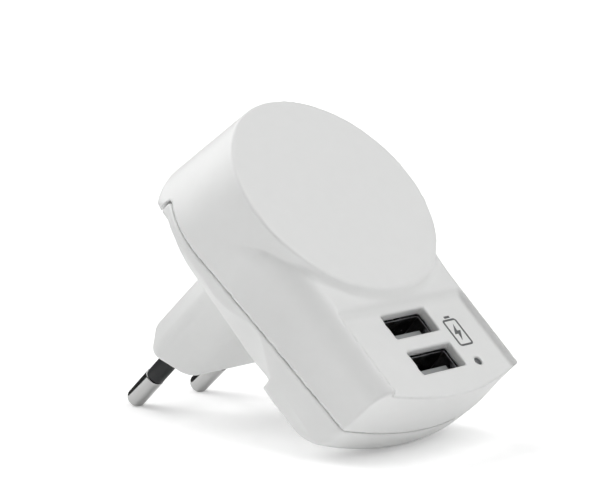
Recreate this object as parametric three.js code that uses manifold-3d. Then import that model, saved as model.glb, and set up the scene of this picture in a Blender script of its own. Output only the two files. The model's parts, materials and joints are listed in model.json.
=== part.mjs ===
// USB wall charger with a round face, a two-socket deck and a fixed two-pin plug.
// Units are millimetres. Everything inside the "charger" group is drawn in the plug's own axes:
// x to the right, y up the wall, z out of the wall, with z = 0 on the end face of the plug block.
// The outer group then leans the charger onto its two pin tips and its lower edge, +Z up.
import * as THREE from 'three';
import { mergeVertices } from 'three/addons/utils/BufferGeometryUtils.js';
import Module from 'manifold-3d';

const wasm = await Module();
wasm.setup();

// ---- driving dimensions ----------------------------------------------------------------------
const REST_TILT = 48.606;        // lean about x when the charger lies on pin tips and lower edge
const REST_LIFT = 13.219;        // height of the plug face centre above the floor
const REST_SHIFT = 24.712;       // brings the middle of the footprint over the origin

const DISC_RADIUS = 22.7;        // round front face
const DISC_Y = 2.56;             // centre of the face above the pin centre line
const DISC_Z = 46.62;            // height of the face centre over the plug's end face
const DISC_SLOPE = 0.0452;       // the face leans up by this much per millimetre of y
const DRUM_LEAN = 0.12;          // the drum's centre climbs by this much per millimetre of depth
const DRUM_DRAFT = 0.022;        // growth of its radius per millimetre of depth
const CROWN_Z = 20.8;            // rear limit of the drum's top wall
const CROWN_Y = 18.2;            // above this height the front housing wraps round to the rear
const CROWN_FOOT = 15;           // from here upwards the rear slopes back to the crown
const CROWN_SLOPE = 0.6;

const SEAM_Z = 29.6;             // joint between the two housing halves at y = 0
const SEAM_SLOPE = 0.15;
const SEAM_GAP = 0.3;
const SEAM_HALF = 22.71;         // half width of the body at the joint at y = 0
const SEAM_TAPER = 0.0525;

const DECK_Y = -30.7;            // middle of the socket deck
const DECK_Z = 45.85;            // its floor there
const DECK_SLOPE = 0.114;
const RIDGE = 1.6;               // ridges beside the sunken deck floor
const DECK_HALF = 18.7;          // half width across the ridges
const DECK_SPREAD = 0.0125;      // the deck widens by this times the square of the rise above y = -20
const RECESS_HALF = 17.3;
const RECESS_TOP = 9.1;
const FLARE = 2.5;               // how sharply the flanks flare out towards the joint
const END_Y = -43.9;             // lower end at the joint
const WALL = 2;

const REAR_Z = 24.5;             // rear face that meets the wall plate
const FLOOR_Z = 26.5;            // inside of that wall

const BLOCK_HALF = 17.65;        // two-pin plug block, 35.3 x 13.7
const BLOCK_FLAT = 11.75;
const BLOCK_HALF_HEIGHT = 6.85;
const PIN_LENGTH = 19;
const PIN_RADIUS = 2;
const SLEEVE_RADIUS = 1.88;
const SLEEVE_LENGTH = 10;
const PIN_ROOT = 9.3;            // half the pin spacing at the plug face
const PIN_TIP = 8.75;            // half the spacing at the tips

const PORT_PITCH = 8.6;
const PORT_WIDTH = 12.4;
const PORT_HEIGHT = 5.6;
const SHELL_WIDTH = 13.3;
const SHELL_HEIGHT = 5.9;
const SHELL_WALL = 0.4;
const SHELL_LENGTH = 12.4;
const SHELL_TOP = -2.4;          // front edge of the shell below the deck floor
const TONGUE_THICK = 1.84;
const CONTACT_X = [-3.5, -1, 1, 3.5];
const CONTACT_WIDTH = 1;

const LED_X = 9.7;
const LED_Y = -6.9;
const LED_RADIUS = 0.85;

const BOARD = 1.6;
const BOARD_Z = 29;              // underside of the main board
const TOP_Z = BOARD_Z + BOARD + 0.3;

// ---- materials -------------------------------------------------------------------------------
const paint = (color, roughness, metalness = 0) =>
  new THREE.MeshStandardMaterial({ color, roughness, metalness });
const WHITE = () => paint(0xe9e9e7, 0.42);
const BLACK = () => paint(0x26292b, 0.4);
const NICKEL = () => paint(0xc9c9c6, 0.22, 1);
const STEEL = () => paint(0xb5b6b6, 0.3, 1);
const GOLD = () => paint(0xcaa558, 0.3, 1);
const GREEN = () => paint(0x1f5c38, 0.5);
const CHIP = () => paint(0x1c1c1e, 0.5);
const CAN = () => paint(0x2b3a4f, 0.35);
const FERRITE = () => paint(0x35353a, 0.7);
const TAPE = () => paint(0xd9b63c, 0.45);
const COPPER = () => paint(0xb87333, 0.35, 1);

// ---- solids and booleans ---------------------------------------------------------------------
function solid(geometry) {
  let g = geometry.clone();
  g.deleteAttribute('normal');
  g.deleteAttribute('uv');
  g = mergeVertices(g, 1e-5);
  return new wasm.Manifold(new wasm.Mesh({
    numProp: 3,
    vertProperties: new Float32Array(g.attributes.position.array),
    triVerts: new Uint32Array(g.index.array),
  }));
}

function geometryOf(body) {
  const mesh = body.getMesh();
  const g = new THREE.BufferGeometry();
  g.setAttribute('position', new THREE.BufferAttribute(new Float32Array(mesh.vertProperties), 3));
  g.setIndex(new THREE.BufferAttribute(new Uint32Array(mesh.triVerts), 1));
  g.computeVertexNormals();
  return g;
}

function named(name, geometry, material) {
  const mesh = new THREE.Mesh(geometry, material);
  mesh.name = name;
  return mesh;
}

function box(x, y, z, cx = 0, cy = 0, cz = 0) {
  return new THREE.BoxGeometry(x, y, z).translate(cx, cy, cz);
}

// a round bar along z from z0 to z1
function bar(radius, z0, z1, cx = 0, cy = 0, sides = 32) {
  const g = new THREE.CylinderGeometry(radius, radius, z1 - z0, sides);
  return g.rotateX(Math.PI / 2).translate(cx, cy, (z0 + z1) / 2);
}

// a turned piece with its axis along z; profile is [radius, z] from the axis back to the axis
function turned(profile, sides = 40) {
  const points = profile.map(([r, z]) => new THREE.Vector2(r, z));
  return new THREE.LatheGeometry(points, sides).rotateX(Math.PI / 2);
}

function polygon(points) {
  return new THREE.Shape(points.map(([x, y]) => new THREE.Vector2(x, y)));
}

function slab(points, z0, z1, steps = 1) {
  const options = { depth: z1 - z0, steps, bevelEnabled: false };
  return new THREE.ExtrudeGeometry(polygon(points), options).translate(0, 0, z0);
}

// moves every vertex by a rule, which bends a straight extrusion into a drafted or flared one
function warp(geometry, rule) {
  const position = geometry.attributes.position;
  for (let i = 0; i < position.count; i++) {
    const [x, y, z] = rule(position.getX(i), position.getY(i), position.getZ(i));
    position.setXYZ(i, x, y, z);
  }
  return geometry;
}

function roundedRect(w, h, r, corner = 4) {
  const points = [];
  const centres = [[w / 2 - r, h / 2 - r], [r - w / 2, h / 2 - r], [r - w / 2, r - h / 2],
    [w / 2 - r, r - h / 2]];
  centres.forEach(([cx, cy], q) => {
    for (let i = 0; i <= corner; i++) {
      const a = (q + i / corner) * Math.PI / 2;
      points.push([cx + r * Math.cos(a), cy + r * Math.sin(a)]);
    }
  });
  return points;
}

// a closed outline with each corner replaced by a short arc
function softened(corners, radius, steps = 4) {
  const points = [];
  corners.forEach((corner, i) => {
    const here = new THREE.Vector2(...corner);
    const before = new THREE.Vector2(...corners[(i + corners.length - 1) % corners.length]);
    const after = new THREE.Vector2(...corners[(i + 1) % corners.length]);
    const a = before.sub(here).setLength(radius).add(here);
    const b = after.sub(here).setLength(radius).add(here);
    const curve = new THREE.QuadraticBezierCurve(a, here, b);
    curve.getPoints(steps).forEach((p) => points.push([p.x, p.y]));
  });
  return points;
}

const lerp = THREE.MathUtils.lerp;
const clamp = THREE.MathUtils.clamp;

// ---- shared surfaces of the housing ----------------------------------------------------------
const discZ = (y) => DISC_Z - DISC_SLOPE * (y - DISC_Y);
const seamZ = (y) => SEAM_Z - SEAM_SLOPE * y;
const deckZ = (y) => DECK_Z - DECK_SLOPE * (y - DECK_Y);

// level of the rear surface, flat up to the crown's foot
const rearZ = (y) => clamp(REAR_Z - CROWN_SLOPE * (y - CROWN_FOOT), CROWN_Z, REAR_Z);

// half width of the body at the joint, from the drum down to the lower end
const seamHalf = (y) => SEAM_HALF + SEAM_TAPER * y;

// half width at the deck, which widens towards the drum
function deckHalf(y) {
  return Math.min(seamHalf(y), DECK_HALF + DECK_SPREAD * Math.max(0, y + 20) ** 2);
}

const endY = (x) => END_Y + 0.0094 * x * x;

// outline of the lower body at the joint, shrunk by an inset for the cavity
function bodyOutline(inset) {
  const points = [];
  const sides = [4, -4, -12, -20, -28, -35];
  sides.forEach((y) => points.push([-(seamHalf(y) - inset), y]));
  const foot = seamHalf(-39.6) - inset;
  const corner = 1 + inset * 0.4;
  points.push([-foot, endY(foot) + inset + corner]);
  for (let i = 0; i <= 14; i++) {
    const x = lerp(-foot + corner * 0.8, foot - corner * 0.8, i / 14);
    points.push([x, endY(x) + inset]);
  }
  points.push([foot, endY(foot) + inset + corner]);
  sides.slice().reverse().forEach((y) => points.push([seamHalf(y) - inset, y]));
  return points;
}

// the leaning drum between the face and the rear surface, its rear edge rounded off
function drum(inset, round) {
  const levels = [0, 0.5, 0.9, 0.95, 0.98, 1];
  const g = new THREE.CylinderGeometry(1, 1, 1, 72, levels.length - 1).rotateX(Math.PI / 2);
  return warp(g, (x, y, z) => {
    const t = levels[Math.round((0.5 - z) * (levels.length - 1))];
    const rear = rearZ(DISC_Y + DRUM_LEAN * (DISC_Z - CROWN_Z) + y * DISC_RADIUS) + inset;
    const depth = (DISC_Z - rear) * t;
    const left = Math.max(0, depth - (DISC_Z - rear - round));
    const bite = round - Math.sqrt(Math.max(0, round * round - left * left));
    const r = DISC_RADIUS + DRUM_DRAFT * depth - inset - bite * 0.7;
    const py = DISC_Y + DRUM_LEAN * depth + y * r;
    return [x * r, py, lerp(discZ(py) - inset, rear, t)];
  });
}

// the lower body between the joint and the deck: wide at the joint, drawn in to the deck above it
function flank(inset, topDrop, bottomDrop) {
  const g = slab(bodyOutline(inset), 0, 1, 6);
  return warp(g, (x, y, t) => {
    const f = 1 - (1 - t) ** FLARE;
    const narrow = lerp(1, (deckHalf(y) - inset) / (seamHalf(y) - inset), f);
    const py = y + f * 0.5 * clamp(-y / 44, 0, 1);
    const low = seamZ(py) - bottomDrop;
    const high = deckZ(py) + RIDGE - topDrop;
    return [x * narrow, py, lerp(low, high, t)];
  });
}

// ---- front housing ---------------------------------------------------------------------------
// everything of the rear half's side of the joint, taken off the front half
function belowSeam(gap) {
  const low = 0;
  const g = slab([[-40, -60], [40, -60], [40, CROWN_Y + gap], [-40, CROWN_Y + gap]], 0, 1);
  return warp(g, (x, y, t) => [x, y, lerp(low, seamZ(y) + gap, t)]);
}

// a frame that lies in the deck floor, used for the cuts that belong to the sockets
function deckPlaced(geometry) {
  geometry.rotateX(-Math.atan(DECK_SLOPE));
  return geometry.translate(0, DECK_Y, DECK_Z);
}

function deckRecess() {
  const reach = 16;
  const length = reach + RECESS_TOP;
  return deckPlaced(box(2 * RECESS_HALF, length, 4, 0, (RECESS_TOP - reach) / 2, 2));
}

function portOpening(sign) {
  const shape = roundedRect(PORT_WIDTH, PORT_HEIGHT, 0.5, 3);
  return deckPlaced(slab(shape, -4, 3).translate(0, sign * PORT_PITCH / 2, 0));
}

function frontHousing() {
  const outer = solid(drum(0, 2.2)).add(solid(flank(0, 0, 0)));
  const hollow = solid(drum(WALL, 1)).add(solid(flank(WALL, RIDGE + WALL, 3)));
  return outer
    .subtract(hollow)
    .subtract(solid(belowSeam(0)))
    .subtract(solid(deckRecess()))
    .subtract(solid(portOpening(1)))
    .subtract(solid(portOpening(-1)))
    .subtract(solid(deckPlaced(bar(LED_RADIUS + 0.3, -4, 2, LED_X, LED_Y))));
}

// ---- rear cover with the plug block ----------------------------------------------------------
const COVER_TOP = CROWN_Y - SEAM_GAP;

function coverOutline(inset) {
  const drumY = DISC_Y + DRUM_LEAN * (DISC_Z - SEAM_Z);
  const r = DISC_RADIUS + DRUM_DRAFT * (DISC_Z - SEAM_Z) - inset;
  const top = COVER_TOP - inset;
  const start = Math.asin((top - drumY) / r);
  const points = bodyOutline(inset).filter(([, y]) => y < 3);
  for (let i = 0; i <= 8; i++) {
    const a = lerp(0, start, i / 8);
    points.push([r * Math.cos(a), drumY + r * Math.sin(a)]);
  }
  for (let i = 8; i >= 0; i--) {
    const a = lerp(0, start, i / 8);
    points.push([-r * Math.cos(a), drumY + r * Math.sin(a)]);
  }
  return points;
}

// drawn from a level above the joint (t = 0) back to the rear face (t = 1); the flanks are
// relieved in the upper part, and the lower end is rounded towards the rear
function coverBody(inset, floor, rise) {
  const g = slab(coverOutline(inset), 0, 1, 8);
  return warp(g, (x, y, t) => {
    const pz = lerp(seamZ(y) + rise, rearZ(y) + floor, t);
    const u = clamp((seamZ(y) - pz) / (seamZ(y) - REAR_Z), 0, 1);
    const upper = clamp((y + 24) / 4, 0, 1);
    const relief = lerp(0.9, 2.6, upper) * clamp((u - 0.25) / 0.75, 0, 1) ** lerp(3, 1, upper);
    const low = clamp((-y - 30) / 8, 0, 1);
    const round = clamp((u - 0.35) / 0.65, 0, 1) ** 2.2;
    const py = y + low * (0.9 * u + 4.2 * round);
    const px = x * (1 - (relief + low * 2.2 * round) / 22);
    return [px, py, pz];
  });
}

function flipped(geometry) {
  const index = geometry.index;
  const source = index ? Array.from(index.array) : [...Array(geometry.attributes.position.count).keys()];
  for (let i = 0; i < source.length; i += 3) {
    [source[i], source[i + 1]] = [source[i + 1], source[i]];
  }
  geometry.setIndex(source);
  return geometry;
}

function hexagon(inset) {
  const k = inset * 1.25;
  const corners = [[BLOCK_HALF - k, 0], [BLOCK_FLAT - inset * 0.6, BLOCK_HALF_HEIGHT - inset],
    [inset * 0.6 - BLOCK_FLAT, BLOCK_HALF_HEIGHT - inset], [k - BLOCK_HALF, 0],
    [inset * 0.6 - BLOCK_FLAT, inset - BLOCK_HALF_HEIGHT],
    [BLOCK_FLAT - inset * 0.6, inset - BLOCK_HALF_HEIGHT]];
  return softened(corners, 2.2 - inset * 0.5);
}

// the block's end face has a small rounded edge
function plugBlock() {
  const g = slab(hexagon(0), 0, 1, 6);
  const levels = [0, 0.3, 0.9, 1.8, 9, 18, 25.5];
  const draw = [0.94, 0.97, 0.988, 0.995, 0.997, 1, 1.004];
  return warp(g, (x, y, t) => {
    const i = Math.round(t * 6);
    return [x * draw[i], y * draw[i], levels[i]];
  });
}

function boardPosts() {
  const places = [[-14, 13], [14, 13], [-15, -9], [15, -9]];
  return places.map(([x, y]) => solid(bar(1.5, FLOOR_Z - 1, BOARD_Z - 0.3, x, y, 20)));
}

function rearCover() {
  let body = solid(flipped(coverBody(0, 0, -SEAM_GAP))).add(solid(plugBlock()));
  body = body.subtract(solid(flipped(coverBody(WALL, WALL, 4))));
  body = body.subtract(solid(slab(hexagon(1.8), 2.6, FLOOR_Z + 1)));
  for (const side of [-1, 1]) {
    const hole = bar(SLEEVE_RADIUS + 0.3, -1, 4, 0, 0).rotateY(pinTurn(side));
    body = body.subtract(solid(hole.translate(side * PIN_ROOT, 0, 0)));
  }
  boardPosts().forEach((post) => { body = body.add(post); });
  return body;
}

// ---- pins, sleeves and their leads -----------------------------------------------------------
const PIN_ANGLE = Math.asin((PIN_ROOT - PIN_TIP) / PIN_LENGTH);
const pinTurn = (side) => side * PIN_ANGLE;

function pinGeometry() {
  const tip = -PIN_LENGTH;
  const profile = [[0, tip], [0.7, tip + 0.08], [1.25, tip + 0.42], [1.7, tip + 1], [2, tip + 1.9],
    [PIN_RADIUS, -SLEEVE_LENGTH + 0.3], [1.75, -SLEEVE_LENGTH + 0.45], [1.2, -SLEEVE_LENGTH + 0.45],
    [1.2, 3], [2.7, 3], [2.7, 4.6], [1.4, 4.9], [1.4, 8], [0, 8]];
  return turned(profile, 40);
}

function sleeveGeometry() {
  const end = 0.75 - SLEEVE_LENGTH;
  const profile = [[1.5, end], [1.75, end], [SLEEVE_RADIUS, end + 0.15], [SLEEVE_RADIUS, 2.5],
    [1.5, 2.5], [1.5, end]];
  return turned(profile, 40);
}

function addPin(group, side, label) {
  const pin = named(`pin_${label}`, pinGeometry(), NICKEL());
  const sleeve = named(`pin_sleeve_${label}`, sleeveGeometry(), BLACK());
  for (const piece of [pin, sleeve]) {
    piece.position.set(side * PIN_ROOT, 0, 0);
    piece.rotation.y = pinTurn(side);
    group.add(piece);
  }
}

// an insulated lead from the pin's inner end up to the main board
function leadGeometry(side) {
  const path = new THREE.CatmullRomCurve3([
    new THREE.Vector3(side * 9.6, 0, 8.4), new THREE.Vector3(side * 9.8, 0.6, 13),
    new THREE.Vector3(side * 9.2, 2.4, 19), new THREE.Vector3(side * 9.6, 3.4, 25),
    new THREE.Vector3(side * 9.6, 3.4, 28.6)]);
  const section = roundedRect(1.7, 1.7, 0.849, 2);
  return new THREE.ExtrudeGeometry(polygon(section), { steps: 10, extrudePath: path });
}

// ---- main board and its components -----------------------------------------------------------
function mainBoard() {
  const disc = solid(bar(19.2, BOARD_Z, BOARD_Z + BOARD, 0, 4.5, 64));
  const neck = solid(box(28, 17.5, BOARD, 0, -8.75, BOARD_Z + BOARD / 2));
  const slot = box(9, 1, 4, -8.5, 0.6, BOARD_Z);
  return disc.add(neck).subtract(solid(slot));
}

function transformerCore() {
  const height = 11.6;
  const outer = solid(box(16, 5, height));
  const window = (x) => solid(box(4, 7, height - 4.4, x, 0, 0));
  return outer.subtract(window(4)).subtract(window(-4));
}

function transformerWinding() {
  const outer = solid(slab(roundedRect(10.6, 11.4, 2.2), -3.3, 3.3));
  return outer.subtract(solid(slab(roundedRect(4.8, 5.8, 0.4, 1), -5, 5)));
}

// foot plate with two rows of stub pins
function transformerFoot() {
  let body = solid(box(15, 12.6, 1.1));
  for (const x of [-5.4, -1.8, 1.8, 5.4]) {
    for (const y of [-5.4, 5.4]) {
      body = body.add(solid(bar(0.45, 0.3, 2.2, x, y, 10)));
    }
  }
  return body;
}

function addTransformer(group) {
  const centre = [4.4, -6.4];
  const foot = named('transformer_foot', geometryOf(transformerFoot()), CHIP());
  foot.position.set(...centre, TOP_Z + 0.55);
  const core = named('transformer_core', geometryOf(transformerCore()), FERRITE());
  core.position.set(...centre, TOP_Z + 1.4 + 5.8);
  const winding = named('transformer_winding', geometryOf(transformerWinding()), TAPE());
  winding.position.set(...centre, TOP_Z + 1.4 + 5.8);
  group.add(core, winding, foot);
}

// aluminium can with a rolled neck near its foot and a shallow top rim
function capacitorGeometry(r, h) {
  return turned([[0, 0], [r - 0.3, 0], [r, 0.3], [r, 1.2], [r - 0.35, 1.6], [r, 2],
    [r, h - 0.4], [r - 0.4, h], [0, h]], 28);
}

function dumbbell(r, h) {
  return turned([[0, 0], [r, 0], [r, 1], [r - 0.9, 1.2], [r - 0.9, h - 1.2], [r, h - 1], [r, h],
    [0, h]], 28);
}

// an axial part lying on its side: body with a wire out of each end
function axialGeometry(r, length, wire, reach) {
  const a = length / 2;
  return turned([[0, -a - reach], [wire, -a - reach], [wire, -a], [r * 0.8, -a], [r, -a + 0.4],
    [r, a - 0.4], [r * 0.8, a], [wire, a], [wire, a + reach], [0, a + reach]], 20);
}

// a moulded chip with a row of bent legs on two sides
function chipSolid(w, d, h, legs, pitch) {
  let body = solid(box(w, d, h, 0, 0, h / 2 + 0.15));
  for (let i = 0; i < legs; i++) {
    const x = (i - (legs - 1) / 2) * pitch;
    for (const side of [-1, 1]) {
      body = body.add(solid(box(0.4, 1, 0.25, x, side * (d / 2 + 0.3), h / 2)));
      body = body.add(solid(box(0.4, 0.3, h / 2, x, side * (d / 2 + 0.7), h / 4)));
    }
  }
  return body;
}

function addComponents(group) {
  const place = (name, geometry, material, x, y, z) => {
    const mesh = named(name, geometry, material);
    mesh.position.set(x, y, z);
    group.add(mesh);
    return mesh;
  };
  place('bulk_capacitor_a', capacitorGeometry(4, 11.4), CAN(), -9.6, 13.8, TOP_Z);
  place('bulk_capacitor_b', capacitorGeometry(4, 11.4), CAN(), 0, 17.6, TOP_Z);
  place('output_capacitor_a', capacitorGeometry(3.15, 11), CAN(), -8.2, -8.6, TOP_Z);
  place('output_capacitor_b', capacitorGeometry(3.15, 11), CAN(), -12.2, -2.2, TOP_Z);
  place('line_inductor', dumbbell(3, 8), COPPER(), 9.4, 14.4, TOP_Z);
  const fuse = place('fuse_resistor', axialGeometry(1.6, 7, 0.35, 1.5), paint(0x4f7a5c, 0.5),
    -15.6, 6.4, TOP_Z + 1.6);
  fuse.rotation.x = Math.PI / 2;
  const diode = place('output_diode', axialGeometry(1.5, 5.5, 0.45, 1.6), CHIP(), 2, -15, TOP_Z + 1.5);
  diode.rotation.y = Math.PI / 2;
  place('y_capacitor', turned([[0, -1.2], [2.6, -1.2], [3.1, -0.6], [3.1, 0.6], [2.6, 1.2],
    [0, 1.2]], 24), paint(0x2f64a8, 0.4), 14.4, 5.6, TOP_Z + 3.1).rotation.y = Math.PI / 2;
  place('optocoupler', geometryOf(chipSolid(4.6, 5, 3.3, 2, 2.54)), CHIP(), -5.4, 4.6, TOP_Z);
  const under = (mesh) => { mesh.rotation.x = Math.PI; };
  under(place('controller_chip', geometryOf(chipSolid(4.9, 3.9, 1.3, 4, 1.27)), CHIP(), 4, 9.8,
    BOARD_Z - 0.3));
  under(place('bridge_rectifier', geometryOf(chipSolid(4.7, 3.9, 1.4, 2, 2.5)), CHIP(), -3.4, 9.8,
    BOARD_Z - 0.3));
}

// ---- socket board, shells, contacts and the light --------------------------------------------
const SOCKET_BOARD_TOP = SHELL_TOP - SHELL_LENGTH - 0.3;
const TONGUE_Y = -0.78;          // middle of the tongue's thickness below the shell's centre
const TONGUE_TOP = SHELL_TOP - 1.2;
const CONTACT_ROOT = SHELL_TOP - SHELL_LENGTH + 3.4;

function shellGeometry() {
  const outer = solid(slab(roundedRect(SHELL_WIDTH, SHELL_HEIGHT, 0.6, 3), -SHELL_LENGTH, 0));
  const inner = slab(roundedRect(SHELL_WIDTH - 2 * SHELL_WALL, SHELL_HEIGHT - 2 * SHELL_WALL, 0.3, 2),
    -SHELL_LENGTH - 1, 1);
  return geometryOf(outer.subtract(solid(inner)));
}

// base block that fills the rear of the shell, and the tongue with one groove per contact
function insulatorGeometry() {
  const base = solid(box(11.9, 4.5, 3, 0, 0, -SHELL_LENGTH + 1.5));
  const length = SHELL_LENGTH - 1.2 - 2;
  const tongue = solid(box(11.1, TONGUE_THICK, length, 0, TONGUE_Y, -1.2 - length / 2));
  let body = base.add(tongue);
  for (const x of CONTACT_X) {
    const groove = box(CONTACT_WIDTH + 0.6, 1.6, length + 3, x, TONGUE_Y + 0.82, -2.2 - length / 2 - 1.5);
    body = body.subtract(solid(groove));
  }
  return geometryOf(body);
}

// spring finger, seen from the side: root at the rear, crest near the mouth, tail through the base
function contactGeometry() {
  const profile = [[0, -2.6], [0.25, -2.6], [0.25, 0.4], [0.75, 3.4], [1.02, 5.1], [0.7, 6.3],
    [0.45, 6.3], [0.76, 5.1], [0.5, 3.4], [0, 0.5]];
  const shape = polygon(profile.map(([h, l]) => [l, h]));
  const g = new THREE.ExtrudeGeometry(shape, { depth: CONTACT_WIDTH, bevelEnabled: false });
  return g.translate(0, 0, -CONTACT_WIDTH / 2).rotateY(-Math.PI / 2);
}

// its lower corners are cut off to clear the rounded end of the housing
function socketBoard() {
  const outline = [[-13.6, -3.6], [-10.4, -7.5], [10.4, -7.5], [13.6, -3.6], [13.6, 10.6], [-13.6, 10.6]];
  return slab(outline, SOCKET_BOARD_TOP - BOARD, SOCKET_BOARD_TOP);
}

function lightPipe() {
  const foot = SOCKET_BOARD_TOP + 1.4;
  return turned([[0, foot], [1.3, foot], [1.3, -3.2], [1.7, -3.2], [1.7, -2.4],
    [LED_RADIUS, -2.4], [LED_RADIUS, -0.35], [0.65, -0.15], [0, -0.1]], 24);
}

function addSocket(deck, sign, label) {
  const y = sign * PORT_PITCH / 2;
  const shell = named(`usb_shell_${label}`, shellGeometry(), STEEL());
  const insulator = named(`usb_insulator_${label}`, insulatorGeometry(), paint(0xe6e6e4, 0.5));
  for (const piece of [shell, insulator]) {
    piece.position.set(0, y, SHELL_TOP);
    deck.add(piece);
  }
  CONTACT_X.forEach((x, i) => {
    const contact = named(`usb_contact_${label}_${i + 1}`, contactGeometry(), GOLD());
    contact.position.set(x, y + TONGUE_Y + 0.32, CONTACT_ROOT);
    deck.add(contact);
  });
}

function addDeck(charger) {
  const deck = new THREE.Group();
  deck.position.set(0, DECK_Y, DECK_Z);
  deck.rotation.x = -Math.atan(DECK_SLOPE);
  addSocket(deck, 1, 'upper');
  addSocket(deck, -1, 'lower');
  deck.add(named('socket_board', socketBoard(), GREEN()));
  const pipe = named('light_pipe', lightPipe(), paint(0x6d6f70, 0.25));
  pipe.position.set(LED_X, LED_Y, 0);
  deck.add(pipe);
  const led = named('led_chip', box(1.6, 1.2, 0.7), paint(0xf2eccb, 0.35));
  led.position.set(LED_X, LED_Y, SOCKET_BOARD_TOP + 0.7);
  deck.add(led);
  const chip = named('charge_control_chip', geometryOf(chipSolid(3, 1.7, 1.1, 3, 0.95)), CHIP());
  chip.position.set(-10.6, 3, SOCKET_BOARD_TOP + 0.3);
  deck.add(chip);
  charger.add(deck);
}

// two short jumper wires between the boards
function jumperGeometry(x) {
  const z = BOARD_Z + BOARD + 1;
  const path = new THREE.CatmullRomCurve3([
    new THREE.Vector3(x, -16.4, z - 0.4), new THREE.Vector3(x, -16.6, z + 1.5),
    new THREE.Vector3(x, -19, z + 2.6), new THREE.Vector3(x, -21.3, z + 1.7),
    new THREE.Vector3(x, -21.6, z - 0.1)]);
  return new THREE.ExtrudeGeometry(polygon(roundedRect(1.1, 1.1, 0.549, 2)), {
    steps: 14, extrudePath: path });
}

// ---- assembly --------------------------------------------------------------------------------
const group = new THREE.Group();
const charger = new THREE.Group();
charger.rotation.x = THREE.MathUtils.degToRad(REST_TILT);
charger.position.set(0, REST_SHIFT, REST_LIFT);
group.add(charger);

charger.add(named('front_housing', geometryOf(frontHousing()), WHITE()));
charger.add(named('rear_cover', geometryOf(rearCover()), WHITE()));
addPin(charger, -1, 'left');
addPin(charger, 1, 'right');
charger.add(named('mains_lead_left', leadGeometry(-1), paint(0x7a4a2b, 0.5)));
charger.add(named('mains_lead_right', leadGeometry(1), paint(0x2f5fa0, 0.5)));
charger.add(named('main_board', geometryOf(mainBoard()), GREEN()));
addTransformer(charger);
addComponents(charger);
addDeck(charger);
charger.add(named('jumper_wire_positive', jumperGeometry(-11), paint(0xa02c28, 0.5)));
charger.add(named('jumper_wire_negative', jumperGeometry(11), BLACK()));

export default group;
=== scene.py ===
"""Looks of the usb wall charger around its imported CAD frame.

The casing is drawn in the plug's own axes, in millimetres: x across, y up the wall, z out of the
wall, with z = 0 on the plug's end face. Each casing half is a field that is negative inside the
plastic and holds the fillets too, and skin() turns the field into a mesh.
"""
import json
import math

import bpy
import numpy as np
from mathutils import Matrix, Vector


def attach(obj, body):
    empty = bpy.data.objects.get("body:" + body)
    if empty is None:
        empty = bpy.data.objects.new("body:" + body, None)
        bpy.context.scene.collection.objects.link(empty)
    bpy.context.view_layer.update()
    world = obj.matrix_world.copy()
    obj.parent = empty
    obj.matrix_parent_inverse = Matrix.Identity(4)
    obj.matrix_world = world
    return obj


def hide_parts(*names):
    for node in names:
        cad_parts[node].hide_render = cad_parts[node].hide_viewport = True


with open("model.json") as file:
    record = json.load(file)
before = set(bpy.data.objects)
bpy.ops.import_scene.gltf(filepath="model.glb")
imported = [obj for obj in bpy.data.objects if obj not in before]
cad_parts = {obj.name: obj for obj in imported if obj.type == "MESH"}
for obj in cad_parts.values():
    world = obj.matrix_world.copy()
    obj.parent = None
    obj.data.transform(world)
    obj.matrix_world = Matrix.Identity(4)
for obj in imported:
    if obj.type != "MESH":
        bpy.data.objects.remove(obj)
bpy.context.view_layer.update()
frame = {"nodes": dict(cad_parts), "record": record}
record = frame["record"]
MM = 0.001


# ---- frames read from the record --------------------------------------------------------------
def mount(name):
    found = next(m for m in record["mounts"] if m["name"] == name)
    return Vector(found["pos_m"]), Vector(found["axis"])


def axes_at(origin, up):
    """A matrix from millimetres in a frame with +X across and +Z along up, to metres."""
    across = Vector((1, 0, 0))
    turn = Matrix((across, up.cross(across), up)).transposed().to_4x4()
    return Matrix.Translation(origin) @ turn @ Matrix.Scale(MM, 4)


PORT_PITCH = 8.6
PORT_EDGE_UPPER = 8.0            # the upper port's mount, above the middle of the deck
PORT_EDGE_LOWER = 8.6            # the lower port's mount, below it
plug_at, plug_out = mount("plug_face")
PLUG = axes_at(plug_at, -plug_out)
upper_at, deck_up = mount("usb_port_upper")
lower_at, _ = mount("usb_port_lower")
share = PORT_EDGE_LOWER / (PORT_EDGE_UPPER + PORT_EDGE_LOWER)
DECK = axes_at(lower_at.lerp(upper_at, share), deck_up)

# ---- driving dimensions of the casing, in millimetres -----------------------------------------
DISC_RADIUS, DISC_Y, DISC_Z, DISC_SLOPE = 22.7, 2.56, 46.62, 0.0452
DISC_EDGE = 0.45
DRUM_LEAN, DRUM_DRAFT = 0.12, 0.022
CROWN_Z, CROWN_Y, CROWN_ROUND, CROWN_FLAT = 20.8, 18.2, 2.2, 0.7
CROWN_FOOT, CROWN_SLOPE = 15.0, 0.6

# the joint between the two halves
SEAM_Z, SEAM_SLOPE, SEAM_GAP, SEAM_TURN = 29.6, 0.15, 0.3, 1.8
SEAM_HALF, SEAM_TAPER, SEAM_EDGE = 22.71, 0.0525, 0.18
SEAM_WIDER, SEAM_WIDER_FROM = 0.3, 3

# the lower body: its end, its flanks and the shoulder between a flank and the deck
BODY_TOP = 4
END_Y, END_BOW, END_LEAN, END_EDGE = -43.9, 0.0094, 0.5, 0.5
DECK_Y, DECK_Z, DECK_SLOPE = -30.7, 45.85, 0.114
RIDGE, DECK_HALF, DECK_SPREAD, DECK_SPREAD_FROM = 1.6, 19.7, 0.0115, -20
SHOULDER_HIGH, SHOULDER_WIDE = 5.5, 3.2
FLARE = 2.2
FALL, FALL_FROM = 0.35, -6

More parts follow.
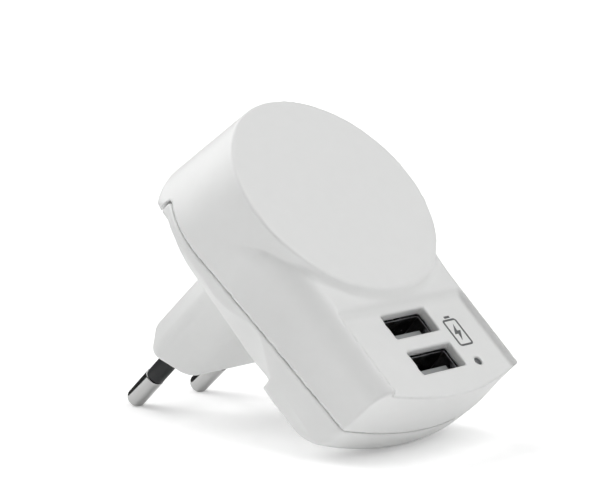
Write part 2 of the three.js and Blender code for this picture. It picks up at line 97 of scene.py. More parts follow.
# the sunken floor of the deck, and the crease and the cove where the drum rises from the body
RECESS_HALF, RECESS_FOOT, RECESS_LEAN = 17.3, 7.6, 0.95
RECESS_CORNER, RECESS_TOP_ROUND, RECESS_RIM = 0.35, 0.8, 0.25
CREASE, CREASE_SOFTER, COVE = 0.12, 0.25, 2.0

WALL = 2.0
PORT_WIDTH, PORT_HEIGHT, PORT_CORNER, PORT_RIM = 12.4, 5.6, 0.5, 0.2
LED_X, LED_Y, LED_HOLE, LED_RIM = 9.7, -6.9, 0.92, 0.1
CUT_DEPTH = 4

# the rear cover: its sides draw in towards the wall, under a crease that swells into a wing
REAR_Z, FLOOR_Z, REAR_EDGE = 24.5, 26.5, 0.9
WING_Z, WING_RISE, WING_Y, WING_SPREAD = 27, 4.2, -15, 6.5
STEP_LOW, STEP_HIGH, TAIL_Z = -23.4, -22.2, 28.5
DRAW_IN, DRAW_PER_MM, DRAW_AT_WING, DRAW_AT_CROWN = 1.2, 0.047, 0.9, 0.6
TAIL_DRAW, TAIL_DRAW_MORE = 0.15, 1.1
HALF_WIDTH = 22
POST_RADIUS, POST_TOP = 1.5, 28.7
POSTS = ((-14, 13), (14, 13), (-15, -9), (15, -9))

# the plug
BLOCK_HALF, BLOCK_FLAT, BLOCK_HIGH, BLOCK_ROUND = 17.65, 11.75, 6.85, 2.0
BLOCK_SCALE, BLOCK_TAPER = 0.995, 0.0004
BLOCK_EDGE, BLOCK_FOOT, BLOCK_WALL, BLOCK_END = 1.3, 0.5, 1.8, 2.6
BORE_DEPTH, BORE_GAP, BORE_RIM = 5, 0.05, 0.15
PIN_LENGTH, PIN_RADIUS, PIN_ROOT, PIN_TIP = 19.0, 2.0, 9.3, 8.75
SLEEVE_RADIUS, SLEEVE_LENGTH = 1.88, 10.0

GRID = 0.4


# ---- fields -----------------------------------------------------------------------------------
def common(a, b, r):
    """What two solids share, with an outer edge of radius r."""
    return np.minimum(-r, np.maximum(a, b)) + np.hypot(np.maximum(r + a, 0), np.maximum(r + b, 0))


def joined(a, b, r):
    """Two solids together, with a fillet of radius r between them."""
    return np.maximum(r, np.minimum(a, b)) - np.hypot(np.maximum(r - a, 0), np.maximum(r - b, 0))


def ramp(value, low, high):
    """Smoothly from 0 at low to 1 at high."""
    t = np.clip((value - low) / (high - low), 0, 1)
    return t * t * (3 - 2 * t)


def seam_z(y):
    return SEAM_Z - SEAM_SLOPE * y


def rear_z(y):
    """Level of the rear surface, flat up to the crown's foot."""
    return np.clip(REAR_Z - CROWN_SLOPE * (y - CROWN_FOOT), CROWN_Z, REAR_Z)


def deck_z(y):
    return DECK_Z - DECK_SLOPE * (y - DECK_Y)


def end_y(x):
    return END_Y + END_BOW * x * x


def rear_side(y, z):
    """Negative on the rear cover's side of the joint, which turns to the rear near the top."""
    return common(z - seam_z(y), y - CROWN_Y, SEAM_TURN)


def drum_wall(x, y, z):
    """Distance outside the drum's wall, a leaning circle that widens towards the rear."""
    depth = DISC_Z - z
    middle = DISC_Y + DRUM_LEAN * depth
    return np.hypot(x, y - middle) - (DISC_RADIUS + DRUM_DRAFT * depth)


def drum(x, y, z, inset=0.0):
    """The round body behind the disc, set in by inset."""
    wall = drum_wall(x, y, z) + inset
    face = z - DISC_Z + DISC_SLOPE * (y - DISC_Y) + inset
    rear = (rear_z(y) + inset - z) / math.hypot(1, CROWN_SLOPE)
    crowned = CROWN_FLAT * common(wall / CROWN_FLAT, rear, CROWN_ROUND)
    return common(crowned, face, DISC_EDGE)


def flank(x, y, z, inset=0.0, drop=0.0):
    """The lower body between the joint and the deck, flared out towards the joint."""
    low = seam_z(y)
    high = deck_z(y) + RIDGE - FALL * np.maximum(0, y - FALL_FROM)
    t = np.clip((z - low) / (high - low), 0, 1)
    rise = 1 - (1 - t) ** FLARE
    wide = SEAM_HALF + SEAM_TAPER * y
    deck = np.minimum(wide, DECK_HALF + DECK_SPREAD * np.maximum(0, y - DECK_SPREAD_FROM) ** 2)
    side = np.abs(x) - (wide + (deck - wide) * rise) + inset
    top = z - high + drop
    end = end_y(x) + END_LEAN * rise - y + inset
    body = common(side * SHOULDER_HIGH / SHOULDER_WIDE, top, SHOULDER_HIGH)
    body = common(body, end, END_EDGE)
    return np.maximum(body, y - BODY_TOP)


def on_deck(y, z):
    """Distance up the deck and height above its floor."""
    turn = math.atan(DECK_SLOPE)
    dy, dz = y - DECK_Y, z - DECK_Z
    return dy * math.cos(turn) - dz * math.sin(turn), dy * math.sin(turn) + dz * math.cos(turn)


def rounded_bar(x, v, width, height, corner):
    """An endless bar of rounded section."""
    return common(np.abs(x) - width / 2, np.abs(v) - height / 2, corner)


def front_field(x, y, z):
    """The front housing."""
    above = z - deck_z(y) - RIDGE
    blend = CREASE + CREASE_SOFTER * ramp(-y, 3, 12) + COVE * ramp(above, -1.6, 0.4) * ramp(-y, 8, 15)
    outer = joined(drum(x, y, z), flank(x, y, z), blend)
    inner = np.minimum(drum(x, y, z, WALL), flank(x, y, z, WALL, RIDGE + WALL))
    v, w = on_deck(y, z)
    lean = math.hypot(1, RECESS_LEAN)
    sides = common(np.abs(x) - RECESS_HALF, -w, RECESS_CORNER)
    recess = common(sides, (v - RECESS_FOOT - RECESS_LEAN * w) / lean, RECESS_TOP_ROUND)
    body = common(outer, -recess, RECESS_RIM)
    for sign in (1, -1):
        port = rounded_bar(x, v - sign * PORT_PITCH / 2, PORT_WIDTH, PORT_HEIGHT, PORT_CORNER)
        body = common(body, -np.maximum(port, -w - CUT_DEPTH), PORT_RIM)
    light = np.maximum(np.hypot(x - LED_X, v - LED_Y) - LED_HOLE, -w - CUT_DEPTH)
    body = common(body, -light, LED_RIM)
    body = np.maximum(body, -inner)
    widened = SEAM_GAP / 2 + SEAM_WIDER * ramp(y, CROWN_Y - SEAM_WIDER_FROM, CROWN_Y)
    return common(body, widened - rear_side(y, z), SEAM_EDGE)


def drawn_in(y, z):
    """How far the rear cover's side has drawn in, from the crease down to the rear face."""
    crease = WING_Z + WING_RISE * np.exp(-((y - WING_Y) / WING_SPREAD) ** 2)
    upper = ramp(y, STEP_LOW, STEP_HIGH)
    most = upper * (DRAW_IN + DRAW_PER_MM * np.clip(-y, 0, 18) + DRAW_AT_WING * ramp(-y, 17, 22)
                    - DRAW_AT_CROWN * ramp(y, 10, 16))
    most = most + (1 - upper) * (TAIL_DRAW + TAIL_DRAW_MORE * ramp(-y, 24, 34))
    start = crease * upper + TAIL_Z * (1 - upper)
    return most * np.clip((start - z) / (start - REAR_Z), 0, 1.4)


def cover_end(x, y, z):
    """Distance past the rear cover's lower end, which curls under towards the rear face."""
    u = np.clip((seam_z(y) - z) / (seam_z(y) - REAR_Z), 0, 1.3)
    curl = np.clip((u - 0.35) / 0.65, 0, 1.5) ** 2.2
    return (end_y(x) + 0.9 * u + 4.2 * curl + 0.02 * curl * x * x / 4 - y) * 0.8


def cover_field(x, y, z):
    """The rear cover with the plug block."""
    rear = rear_z(y) - z
    wide = np.abs(x) * HALF_WIDTH / (HALF_WIDTH - drawn_in(y, z))
    body_side = np.maximum(wide - SEAM_HALF - SEAM_TAPER * y, y - BODY_TOP)
    side = np.minimum(body_side, drum_wall(wide, y, z))
    end = cover_end(x, y, z)
    shell = common(common(side, end, REAR_EDGE), rear, REAR_EDGE)
    hollow = np.maximum(np.maximum(side + WALL, end + WALL), rear_z(y) + WALL - z)
    body = np.maximum(shell, -hollow)
    body = common(body, rear_side(y, z) + SEAM_GAP / 2, SEAM_EDGE)
    for px, py in POSTS:
        ends = np.maximum(FLOOR_Z - 1 - z, z - POST_TOP)
        post = np.maximum(np.hypot(x - px, y - py) - POST_RADIUS, ends)
        body = np.minimum(body, post)
    block = np.maximum(plug_block(x, y, z, 0), z - FLOOR_Z + 0.4)
    body = joined(body, common(block, -z, BLOCK_EDGE), BLOCK_FOOT)
    body = np.maximum(body, -np.maximum(plug_block(x, y, z, BLOCK_WALL), BLOCK_END - z))
    lean = (PIN_ROOT - PIN_TIP) / PIN_LENGTH
    for sign in (1, -1):
        bore = np.hypot(x - sign * (PIN_ROOT + lean * z), y) - SLEEVE_RADIUS - BORE_GAP
        body = common(body, -np.maximum(bore, z - BORE_DEPTH), BORE_RIM)
    return body


def plug_block(x, y, z, inset):
    """The six-sided bar of the plug, set in by inset."""
    run, rise = BLOCK_HALF - BLOCK_FLAT, BLOCK_HIGH
    along = math.hypot(run, rise)
    nx, ny = rise / along, run / along
    grow = BLOCK_SCALE + BLOCK_TAPER * z
    px, py = np.abs(x) / grow, y / grow
    slope_up = nx * px + ny * py - nx * BLOCK_HALF + inset
    slope_down = nx * px - ny * py - nx * BLOCK_HALF + inset
    tip = common(slope_up, slope_down, BLOCK_ROUND)
    return common(tip, np.abs(py) - BLOCK_HIGH + inset, BLOCK_ROUND)


# ---- from a field to a mesh -------------------------------------------------------------------
def slope_of(field, p, h=0.02):
    """The field's unit gradient at the points p."""
    g = np.empty_like(p)
    for k in range(3):
        step = np.zeros(3)
        step[k] = h
        a, b = p + step, p - step
        g[:, k] = field(*a.T) - field(*b.T)
    return g / np.maximum(np.linalg.norm(g, axis=1), 1e-12)[:, None]


def skin(field, low, high, step):
    """Dual contouring: one vertex in each cell that the surface crosses, placed where the
    surface's tangent planes meet, so that edges stay crisp."""
    low, high = np.array(low, float), np.array(high, float)
    n = np.ceil((high - low) / step).astype(int) + 1
    axes = [low[k] + step * np.arange(n[k]) for k in range(3)]
    values = np.empty(n)
    for i, x in enumerate(axes[0]):
        yy, zz = np.meshgrid(axes[1], axes[2], indexing="ij")
        values[i] = field(np.full_like(yy, x), yy, zz)
    inside = values < 0
    cells = n - 1
    count = int(np.prod(cells))
    mass = np.zeros((4, count))
    normal_sum = np.zeros((9, count))
    quads = []
    for k in range(3):
        a = np.take(inside, range(n[k] - 1), k)
        b = np.take(inside, range(1, n[k]), k)
        at = np.argwhere(a != b)
        va = values[tuple(at.T)]
        ahead = at.copy()
        ahead[:, k] += 1
        vb = values[tuple(ahead.T)]
        p = low + step * at
        p[:, k] += step * va / (va - vb)
        nrm = slope_of(field, p)
        away = np.einsum("ij,ij->i", nrm, p)
        terms = [nrm[:, 0] ** 2, nrm[:, 0] * nrm[:, 1], nrm[:, 0] * nrm[:, 2], nrm[:, 1] ** 2,
                 nrm[:, 1] * nrm[:, 2], nrm[:, 2] ** 2, *(nrm.T * away)]
        i, j = [m for m in range(3) if m != k]
        ring = []
        for di, dj in ((0, 0), (-1, 0), (-1, -1), (0, -1)):
            cell = at.copy()
            cell[:, i] += di
            cell[:, j] += dj
            flat = np.ravel_multi_index(tuple(cell.T), tuple(cells))
            ring.append(flat)
            mass[0] += np.bincount(flat, minlength=count)
            for m in range(3):
                mass[m + 1] += np.bincount(flat, p[:, m], minlength=count)
            for m, term in enumerate(terms):
                normal_sum[m] += np.bincount(flat, term, minlength=count)
        ring = np.array(ring).T
        turned = inside[tuple(at.T)] ^ (k == 1)
        ring[~turned] = ring[~turned][:, ::-1]
        quads.append(ring)
    quads = np.concatenate(quads)
    used = np.flatnonzero(mass[0])
    middle = (mass[1:, used] / mass[0, used]).T
    s = normal_sum[:, used]
    ata = np.array([[s[0], s[1], s[2]], [s[1], s[3], s[4]], [s[2], s[4], s[5]]]).transpose(2, 0, 1)
    rest = s[6:9].T - np.einsum("nij,nj->ni", ata, middle)
    pull = 0.05 * np.eye(3)              # keeps a flat cell's vertex at its middle
    shift = np.linalg.solve(ata + pull, rest[:, :, None])[:, :, 0]
    corner = low + step * np.array(np.unravel_index(used, tuple(cells))).T
    points = np.clip(middle + shift, corner - 0.1 * step, corner + 1.1 * step)
    new = np.full(count, -1)
    new[used] = np.arange(len(used))
    return points, new[quads]


def mesh_piece(name, points, faces, matrix, slot):
    """A smooth-shaded mesh piece from points in millimetres in the frame of matrix."""
    turn = np.array(matrix)
    world = np.asarray(points) @ turn[:3, :3].T + turn[:3, 3]
    mesh = bpy.data.meshes.new(name)
    mesh.from_pydata(world.tolist(), [], [list(map(int, f)) for f in faces])
    mesh.validate()
    mesh.shade_smooth()
    piece = bpy.data.objects.new(name, mesh)
    bpy.context.scene.collection.objects.link(piece)
    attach(piece, "root")
    if slot:
        mesh.materials.append(SLOTS[slot])
    return piece


# ---- materials --------------------------------------------------------------------------------
def finish(name, color, rough, metal=0.0, grain=900, vary=0.06, rough_vary=0.08, bump=0.01,
           stretch=(1, 1, 1), coat=0.0, spots=None):
    """A procedural surface: grain is the noise frequency per metre, vary how far the colour
    strays, bump the height of the texture in millimetres, and spots a second colour."""
    material = bpy.data.materials.new(name)
    material.use_nodes = True
    nodes, links = material.node_tree.nodes, material.node_tree.links
    shader = nodes["Principled BSDF"]
    shader.inputs["Metallic"].default_value = metal
    shader.inputs["Coat Weight"].default_value = coat
    place = nodes.new("ShaderNodeTexCoord")
    mapping = nodes.new("ShaderNodeMapping")
    mapping.inputs["Scale"].default_value = stretch
    links.new(place.outputs["Object"], mapping.inputs["Vector"])
    noise = nodes.new("ShaderNodeTexNoise")
    noise.inputs["Scale"].default_value = grain
    noise.inputs["Detail"].default_value = 4
    links.new(mapping.outputs["Vector"], noise.inputs["Vector"])
    broad = nodes.new("ShaderNodeTexNoise")
    broad.inputs["Scale"].default_value = grain / 12
    broad.inputs["Detail"].default_value = 2
    links.new(mapping.outputs["Vector"], broad.inputs["Vector"])
    tint = nodes.new("ShaderNodeValToRGB")
    dark = [c * (1 - vary) for c in color]
    light = [min(1.0, c * (1 + vary)) for c in color]
    tint.color_ramp.elements[0].position, tint.color_ramp.elements[1].position = 0.3, 0.7
    tint.color_ramp.elements[0].color = (*dark, 1)
    tint.color_ramp.elements[1].color = (*light, 1)
    links.new((noise if spots else broad).outputs["Fac"], tint.inputs["Fac"])
    if spots:
        tint.color_ramp.elements[1].color = (*spots, 1)
        tint.color_ramp.elements[0].position, tint.color_ramp.elements[1].position = 0.52, 0.62
    links.new(tint.outputs["Color"], shader.inputs["Base Color"])
    spread = nodes.new("ShaderNodeMapRange")
    spread.inputs["To Min"].default_value = max(0.02, rough - rough_vary)
    spread.inputs["To Max"].default_value = rough + rough_vary
    links.new(noise.outputs["Fac"], spread.inputs["Value"])
    links.new(spread.outputs["Result"], shader.inputs["Roughness"])
    raised = nodes.new("ShaderNodeBump")
    raised.inputs["Distance"].default_value = bump * MM
    raised.inputs["Strength"].default_value = 1.0
    links.new(noise.outputs["Fac"], raised.inputs["Height"])
    links.new(raised.outputs["Normal"], shader.inputs["Normal"])
    return material


SLOTS = {
    "housing": finish("housing", (0.84, 0.845, 0.838), 0.42, grain=4200, vary=0.006, rough_vary=0.04,
                      bump=0.004),
    "pin_metal": finish("pin_metal", (0.56, 0.56, 0.555), 0.12, metal=1, grain=2600, vary=0.03,
                        bump=0.0015, rough_vary=0.04, stretch=(1, 0.1, 0.1)),
    "sleeve": finish("sleeve", (0.008, 0.009, 0.010), 0.5, grain=3000, vary=0.1, bump=0.004),
    "lead_brown": finish("lead_brown", (0.19, 0.07, 0.03), 0.45),
    "lead_blue": finish("lead_blue", (0.03, 0.11, 0.35), 0.45),
    "lead_red": finish("lead_red", (0.35, 0.03, 0.02), 0.45),
    "lead_black": finish("lead_black", (0.02, 0.02, 0.02), 0.45),
    "board": finish("board", (0.02, 0.11, 0.05), 0.4, grain=700, coat=0.3, spots=(0.03, 0.17, 0.07)),
    "ferrite": finish("ferrite", (0.035, 0.035, 0.04), 0.6, grain=5000, vary=0.3, bump=0.02),
    "tape": finish("tape", (0.7, 0.48, 0.05), 0.3, grain=300, vary=0.08, stretch=(1, 1, 6)),
    "chip": finish("chip", (0.015, 0.015, 0.017), 0.5, grain=6000, vary=0.2, bump=0.01),
    "can": finish("can", (0.025, 0.045, 0.08), 0.3, grain=500, stretch=(6, 1, 1)),
    "copper": finish("copper", (0.48, 0.17, 0.05), 0.3, metal=1, grain=1500, stretch=(0.2, 1, 6),
                     bump=0.03),
    "resistor": finish("resistor", (0.08, 0.19, 0.11), 0.45, grain=2500, bump=0.02),
    "disc_blue": finish("disc_blue", (0.03, 0.13, 0.38), 0.35, grain=1200, bump=0.02),
    "shell": finish("shell", (0.28, 0.28, 0.29), 0.24, metal=1, grain=1800, bump=0.001,
                    stretch=(1, 1, 0.1)),
    "insulator": finish("insulator", (0.32, 0.33, 0.33), 0.4, grain=3500, bump=0.004),
    "contact": finish("contact", (0.62, 0.43, 0.15), 0.25, metal=1, grain=3000),
    "lens": finish("lens", (0.075, 0.08, 0.085), 0.18, grain=1500, vary=0.15, coat=0.4),
    "led": finish("led", (0.85, 0.8, 0.55), 0.3, grain=1500),
}
PRINT = finish("print", (0.115, 0.12, 0.12), 0.5, grain=5000, vary=0.12, bump=0.002)

slot_of = {part["node"]: part["material_slot"] for part in record["subparts"]}
for node, obj in frame["nodes"].items():
    obj.data.materials.clear()
    obj.data.materials.append(SLOTS[slot_of[node]])


# ---- camera -----------------------------------------------------------------------------------
def turned_camera(place, azimuth, down, roll):
    """A camera at place, in metres, that looks azimuth degrees to the right of +Y and down degrees
    below the horizon, then rolled."""
    camera = bpy.data.objects.new("camera", bpy.data.cameras.new("camera"))
    bpy.context.scene.collection.objects.link(camera)
    face = Matrix.Rotation(math.radians(-azimuth), 4, "Z")
    tip = Matrix.Rotation(math.radians(90 - down), 4, "X")
    spin = Matrix.Rotation(math.radians(roll), 4, "Z")
    camera.matrix_world = Matrix.Translation(place) @ face @ tip @ spin
    camera.data.sensor_width = 36
    camera.data.lens = 150
    camera.data.clip_start = 0.01
    bpy.context.scene.camera = camera


turned_camera((-0.3452, -0.3216, 0.1092), 46.95, 9.02, -0.55)


# ---- casing -----------------------------------------------------------------------------------
points, faces = skin(front_field, (-24.5, -45.5, 19.6), (24.5, 29.8, 49), GRID)
housing = mesh_piece("front_housing_moulding", points, faces, PLUG, "housing")
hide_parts("front_housing")

points, faces = skin(cover_field, (-24.5, -45.5, -1), (24.5, 19.6, 38), GRID)
cover = mesh_piece("rear_cover_moulding", points, faces, PLUG, "housing")
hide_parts("rear_cover")


# ---- turned pieces ----------------------------------------------------------------------------
def arc(cx, cz, radius, start, stop, steps=10):
    angles = np.radians(np.linspace(start, stop, steps + 1))
    return [(cx + radius * math.cos(a), cz + radius * math.sin(a)) for a in angles]


def lathe(profile, sides=96, closed=False):
    """A profile of (radius, z) turned about z. Its ends lie on the axis, or it closes on itself."""
    points, faces, rings = [], [], []
    for r, z in profile:
        if r < 1e-6:
            rings.append([len(points)] * sides)
            points.append((0, 0, z))
            continue
        rings.append(list(range(len(points), len(points) + sides)))
        for i in range(sides):
            a = 2 * math.pi * i / sides
            points.append((r * math.cos(a), r * math.sin(a), z))
    pairs = list(zip(rings, rings[1:]))
    if closed:
        pairs.append((rings[-1], rings[0]))
    for a, b in pairs:
        for i in range(sides):
            j = (i + 1) % sides
            corners = [a[i], a[j], b[j], b[i]]
            faces.append(list(dict.fromkeys(corners)))
    return points, faces


def pin_frame(sign):
    lean = math.asin((PIN_ROOT - PIN_TIP) / PIN_LENGTH)
    return PLUG @ Matrix.Translation((sign * PIN_ROOT, 0, 0)) @ Matrix.Rotation(sign * lean, 4, "Y")


PIN_NOSE, PIN_LIP = 1.55, 0.18
PIN_CORE, PIN_FLANGE, PIN_TAIL = 1.2, 2.7, 1.4
FLANGE_LOW, FLANGE_HIGH, PIN_TOP = 3, 4.6, 8
SLEEVE_BORE, SLEEVE_TOP, SLEEVE_ROUND, SLEEVE_CHAMFER = 1.3, 2.5, 0.3, 0.2


def pin_profile():
    """A pin from its round tip, past the flange inside the block, to the tail for its lead."""
    tip, neck = -PIN_LENGTH, -SLEEVE_LENGTH
    profile = [(0, tip)] + arc(PIN_RADIUS - PIN_NOSE, tip + PIN_NOSE, PIN_NOSE, -90, 0, 14)
    profile += [(PIN_RADIUS, neck - 0.15)]
    profile += arc(PIN_RADIUS - PIN_LIP, neck - 0.02, PIN_LIP, 0, 90, 4)
    profile += [(PIN_CORE + 0.1, neck + 0.16), (PIN_CORE, neck + 0.5), (PIN_CORE, FLANGE_LOW)]
    profile += [(PIN_FLANGE, FLANGE_LOW), (PIN_FLANGE, FLANGE_HIGH), (PIN_TAIL, FLANGE_HIGH + 0.3)]
    return profile + [(PIN_TAIL, PIN_TOP - 0.2), (PIN_CORE, PIN_TOP), (0, PIN_TOP)]


def sleeve_profile():
    """A sleeve round the pin's core, closed on itself, with a rounded lower end."""
    end, r = SLEEVE_ROUND - SLEEVE_LENGTH, SLEEVE_RADIUS
    profile = [(SLEEVE_BORE, SLEEVE_TOP), (SLEEVE_BORE, end)]
    profile += arc(r - SLEEVE_ROUND, end + SLEEVE_ROUND, SLEEVE_ROUND, -90, 0, 5)
    return profile + [(r, SLEEVE_TOP - SLEEVE_CHAMFER), (r - SLEEVE_CHAMFER, SLEEVE_TOP)]


for sign, label in ((-1, "left"), (1, "right")):
    points, faces = lathe(pin_profile())
    pin = mesh_piece(f"plug_pin_{label}", points, faces, pin_frame(sign), "pin_metal")
    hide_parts(f"pin_{label}")
    points, faces = lathe(sleeve_profile(), closed=True)
    sleeve = mesh_piece(f"plug_sleeve_{label}", points, faces, pin_frame(sign), "sleeve")
    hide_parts(f"pin_sleeve_{label}")

PIPE_FOOT, PIPE_RADIUS, PIPE_CHAMFER = -13.7, 1.3, 0.15
COLLAR_RADIUS, COLLAR_LOW, COLLAR_HIGH = 1.7, -3.2, -2.4
LENS_RADIUS, DOME_FOOT, DOME_RISE = 0.85, -0.3, 0.2


def lens_profile():
    """The indicator's light pipe with a collar under the deck and a shallow dome for a lens, just
    below the deck floor."""
    profile = [(0, PIPE_FOOT), (PIPE_RADIUS - PIPE_CHAMFER, PIPE_FOOT)]
    profile += [(PIPE_RADIUS, PIPE_FOOT + PIPE_CHAMFER), (PIPE_RADIUS, COLLAR_LOW)]
    profile += [(COLLAR_RADIUS, COLLAR_LOW), (COLLAR_RADIUS, COLLAR_HIGH), (LENS_RADIUS, COLLAR_HIGH)]
    for a in (0, 0.3, 0.6, 0.9, 1.2):
        profile.append((LENS_RADIUS * math.cos(a), DOME_FOOT + DOME_RISE * math.sin(a)))
    return profile + [(0, DOME_FOOT + DOME_RISE)]


points, faces = lathe(lens_profile(), sides=64)
pipe = mesh_piece("indicator_lens", points, faces, DECK @ Matrix.Translation((LED_X, LED_Y, 0)), "lens")
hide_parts("light_pipe")


# ---- socket shells ----------------------------------------------------------------------------
SHELL_TOP, SHELL_LENGTH, SHELL_WALL = -2.4, 12.4, 0.4
SHELL_WIDTH, SHELL_HEIGHT, SHELL_CORNER = 13.3, 5.9, 0.7
INSULATOR_BEVEL = 0.12


def rounded_path(width, height, corner, steps=6):
    """Points (x, y, normal x, normal y) round a rectangle with round corners."""
    path = []
    for quarter, (sx, sy) in enumerate(((1, 1), (-1, 1), (-1, -1), (1, -1))):
        for i in range(steps + 1):
            a = (quarter + i / steps) * math.pi / 2
            nx, ny = math.cos(a), math.sin(a)
            cx, cy = sx * (width / 2 - corner), sy * (height / 2 - corner)
            path.append((cx + corner * nx, cy + corner * ny, nx, ny))
    return path


def shell_mesh():
    """A thin folded tube with a rounded front lip; section is (inward offset, z)."""
    half = SHELL_WALL / 2
    section = [(SHELL_WALL, -SHELL_LENGTH), (SHELL_WALL, -half)]
    for a in np.linspace(0.3, 2.84, 7):
        section.append((half + half * math.cos(a), -half + half * math.sin(a)))
    section += [(0, -half), (0, -SHELL_LENGTH)]
    path = rounded_path(SHELL_WIDTH, SHELL_HEIGHT, SHELL_CORNER)
    points, faces = [], []
    for x, y, nx, ny in path:
        points += [(x - nx * off, y - ny * off, z) for off, z in section]
    n, m = len(path), len(section)
    for i in range(n):
        for j in range(m):
            after, up = (i + 1) % n, (j + 1) % m
            faces.append((i * m + j, i * m + up, after * m + up, after * m + j))
    return points, faces


for sign, label in ((1, "upper"), (-1, "lower")):
    points, faces = shell_mesh()
    at = DECK @ Matrix.Translation((0, sign * PORT_PITCH / 2, SHELL_TOP))
    shell = mesh_piece(f"socket_shell_{label}", points, faces, at, "shell")
    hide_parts(f"usb_shell_{label}")
    bevel = frame["nodes"][f"usb_insulator_{label}"].modifiers.new("edges", "BEVEL")
    bevel.width = INSULATOR_BEVEL * MM
    bevel.segments = 2


# ---- printed mark -----------------------------------------------------------------------------
MARK_LONG, MARK_WIDE, MARK_LINE, MARK_CORNER = 6.4, 3.9, 0.42, 0.7
MARK_X, MARK_Y, MARK_THICK = 10.0, 0.1, 0.012
CAP_HALF, CAP_GAP, CAP_HIGH = 0.75, 0.25, 0.5
BOLT = ((0.35, 2.0), (-1.05, -0.35), (-0.12, -0.35), (-0.35, -2.0), (1.05, 0.35), (0.12, 0.35))


def printed_mark():
    """A generic battery with a bolt in it, beside the sockets."""
    curve = bpy.data.curves.new("printed_mark", "CURVE")
    curve.dimensions = "2D"
    curve.fill_mode = "BOTH"
    curve.extrude = MARK_THICK

    def outline(points):
        spline = curve.splines.new("POLY")
        spline.points.add(len(points) - 1)
        for point, (x, y) in zip(spline.points, points):
            point.co = (x, y, 0, 1)
        spline.use_cyclic_u = True

    for inset in (0, MARK_LINE):
        wide, long = MARK_WIDE - 2 * inset, MARK_LONG - 2 * inset
        outline([(x, y) for x, y, _, _ in rounded_path(wide, long, MARK_CORNER - inset)])
    low = MARK_LONG / 2 + CAP_GAP
    high = low + CAP_HIGH
    outline([(-CAP_HALF, low), (CAP_HALF, low), (CAP_HALF, high), (-CAP_HALF, high)])
    outline(BOLT)
    holder = bpy.data.objects.new("printed_mark_outline", curve)
    bpy.context.scene.collection.objects.link(holder)
    bpy.context.view_layer.update()
    evaluated = holder.evaluated_get(bpy.context.evaluated_depsgraph_get())
    mesh = bpy.data.meshes.new_from_object(evaluated)
    bpy.data.objects.remove(holder)
    mesh.name = "printed_mark"
    mesh.transform(DECK @ Matrix.Translation((MARK_X, MARK_Y, MARK_THICK + 0.002)))
    mesh.materials.clear()
    mesh.materials.append(PRINT)
    piece = bpy.data.objects.new("printed_mark", mesh)
    bpy.context.scene.collection.objects.link(piece)
    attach(piece, "root")


printed_mark()


# ---- floor and light, in metres ---------------------------------------------------------------
FLOOR_SIZE = 24
BOUNCE_GLOW, NEAR_GLOW, FAR_GLOW = 0.082, 0.26, 1.0
NEAR_REACH, FAR_REACH = 0.4, 1.2
CARD_AT, CARD_WIDE, CARD_HIGH = (0, 0.1, 0.026), 0.2, 0.05
LIGHT_DISTANCE, AIM_HEIGHT = 1.3, 0.03


def plain_floor(name, glow):
    """A white floor that glows with strength glow."""
    bpy.ops.mesh.primitive_grid_add(x_subdivisions=4, y_subdivisions=4, size=FLOOR_SIZE)
    floor = bpy.context.object
    floor.name = name
    material = bpy.data.materials.new(name)
    material.use_nodes = True
    shader = material.node_tree.nodes["Principled BSDF"]
    shader.inputs["Base Color"].default_value = (0.96, 0.96, 0.96, 1)
    shader.inputs["Roughness"].default_value = 0.9
    shader.inputs["Specular IOR Level"].default_value = 0.1
    shader.inputs["Emission Color"].default_value = (1, 1, 1, 1)
    shader.inputs["Emission Strength"].default_value = glow
    floor.data.materials.append(material)
    return floor, material


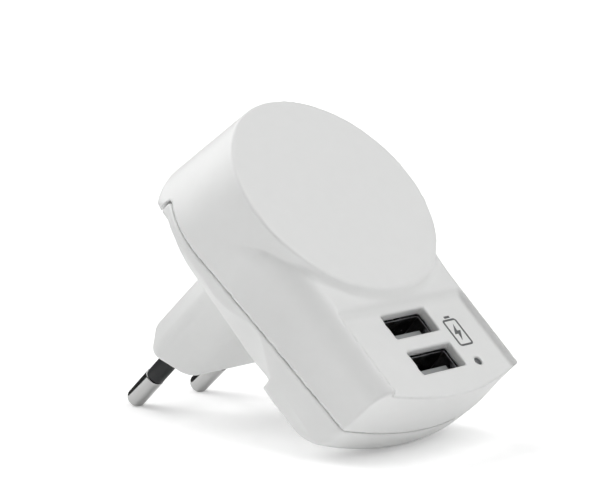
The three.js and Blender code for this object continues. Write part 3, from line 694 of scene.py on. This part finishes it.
def make_floor():
    """The floor that lights the charger from below, and the one in view, which is brighter and
    turns pure white further out."""
    bounce, _ = plain_floor("floor_bounce", BOUNCE_GLOW)
    bounce.visible_camera = False
    bounce.location.z = -0.3 * MM
    seen, material = plain_floor("floor", NEAR_GLOW)
    seen.visible_diffuse = False
    seen.visible_glossy = False
    seen.visible_shadow = False
    nodes, links = material.node_tree.nodes, material.node_tree.links
    place = nodes.new("ShaderNodeTexCoord")
    reach = nodes.new("ShaderNodeVectorMath")
    reach.operation = "LENGTH"
    links.new(place.outputs["Object"], reach.inputs[0])
    glow = nodes.new("ShaderNodeMapRange")
    glow.inputs["From Min"].default_value = NEAR_REACH
    glow.inputs["From Max"].default_value = FAR_REACH
    glow.inputs["To Min"].default_value = NEAR_GLOW
    glow.inputs["To Max"].default_value = FAR_GLOW
    links.new(reach.outputs["Value"], glow.inputs["Value"])
    links.new(glow.outputs["Result"], nodes["Principled BSDF"].inputs["Emission Strength"])


def dark_card():
    """A black card behind the pins that only reflections see; it draws the dark stripe on them."""
    bpy.ops.mesh.primitive_grid_add(x_subdivisions=2, y_subdivisions=2, size=1)
    card = bpy.context.object
    card.name = "dark_card"
    card.location = CARD_AT
    card.scale = (CARD_WIDE, CARD_HIGH, 1)
    card.rotation_euler = (math.radians(90), 0, 0)
    card.visible_camera = False
    card.visible_diffuse = False
    card.visible_shadow = False
    material = bpy.data.materials.new("dark_card")
    material.use_nodes = True
    shader = material.node_tree.nodes["Principled BSDF"]
    shader.inputs["Base Color"].default_value = (0, 0, 0, 1)
    card.data.materials.append(material)


def white_world():
    """A white background that lights nothing."""
    world = bpy.data.worlds.new("studio")
    bpy.context.scene.world = world
    world.use_nodes = True
    background = world.node_tree.nodes["Background"]
    background.inputs["Color"].default_value = (1, 1, 1, 1)
    background.inputs["Strength"].default_value = 1.0
    for ray in ("diffuse", "glossy", "transmission", "scatter"):
        setattr(world.cycles_visibility, ray, False)


def softbox(name, direction, size, level):
    """A square light that faces the charger; level is the brightness that it alone gives a white
    surface turned towards it."""
    light = bpy.data.lights.new(name, "AREA")
    light.size = size
    light.energy = level * (math.pi * LIGHT_DISTANCE) ** 2
    lamp = bpy.data.objects.new(name, light)
    lamp.location = Vector(direction).normalized() * LIGHT_DISTANCE + Vector((0, 0, AIM_HEIGHT))
    lamp.rotation_euler = Vector(direction).to_track_quat("Z", "Y").to_euler()
    bpy.context.scene.collection.objects.link(lamp)


make_floor()
dark_card()
white_world()
bpy.context.scene.view_settings.view_transform = "Standard"
softbox("front_box", (0.15, -0.5, 0.85), 1.4, 0.776)
softbox("left_front_box", (-0.6, -0.6, 0.5), 1.2, 0.085)
softbox("left_back_box", (-0.5, 0.6, 0.65), 1.2, 0.347)
softbox("back_box", (0, 0.8, 0.6), 1.2, 0.628)
softbox("right_box", (1, -0.2, 0.7), 1.4, 0.149)
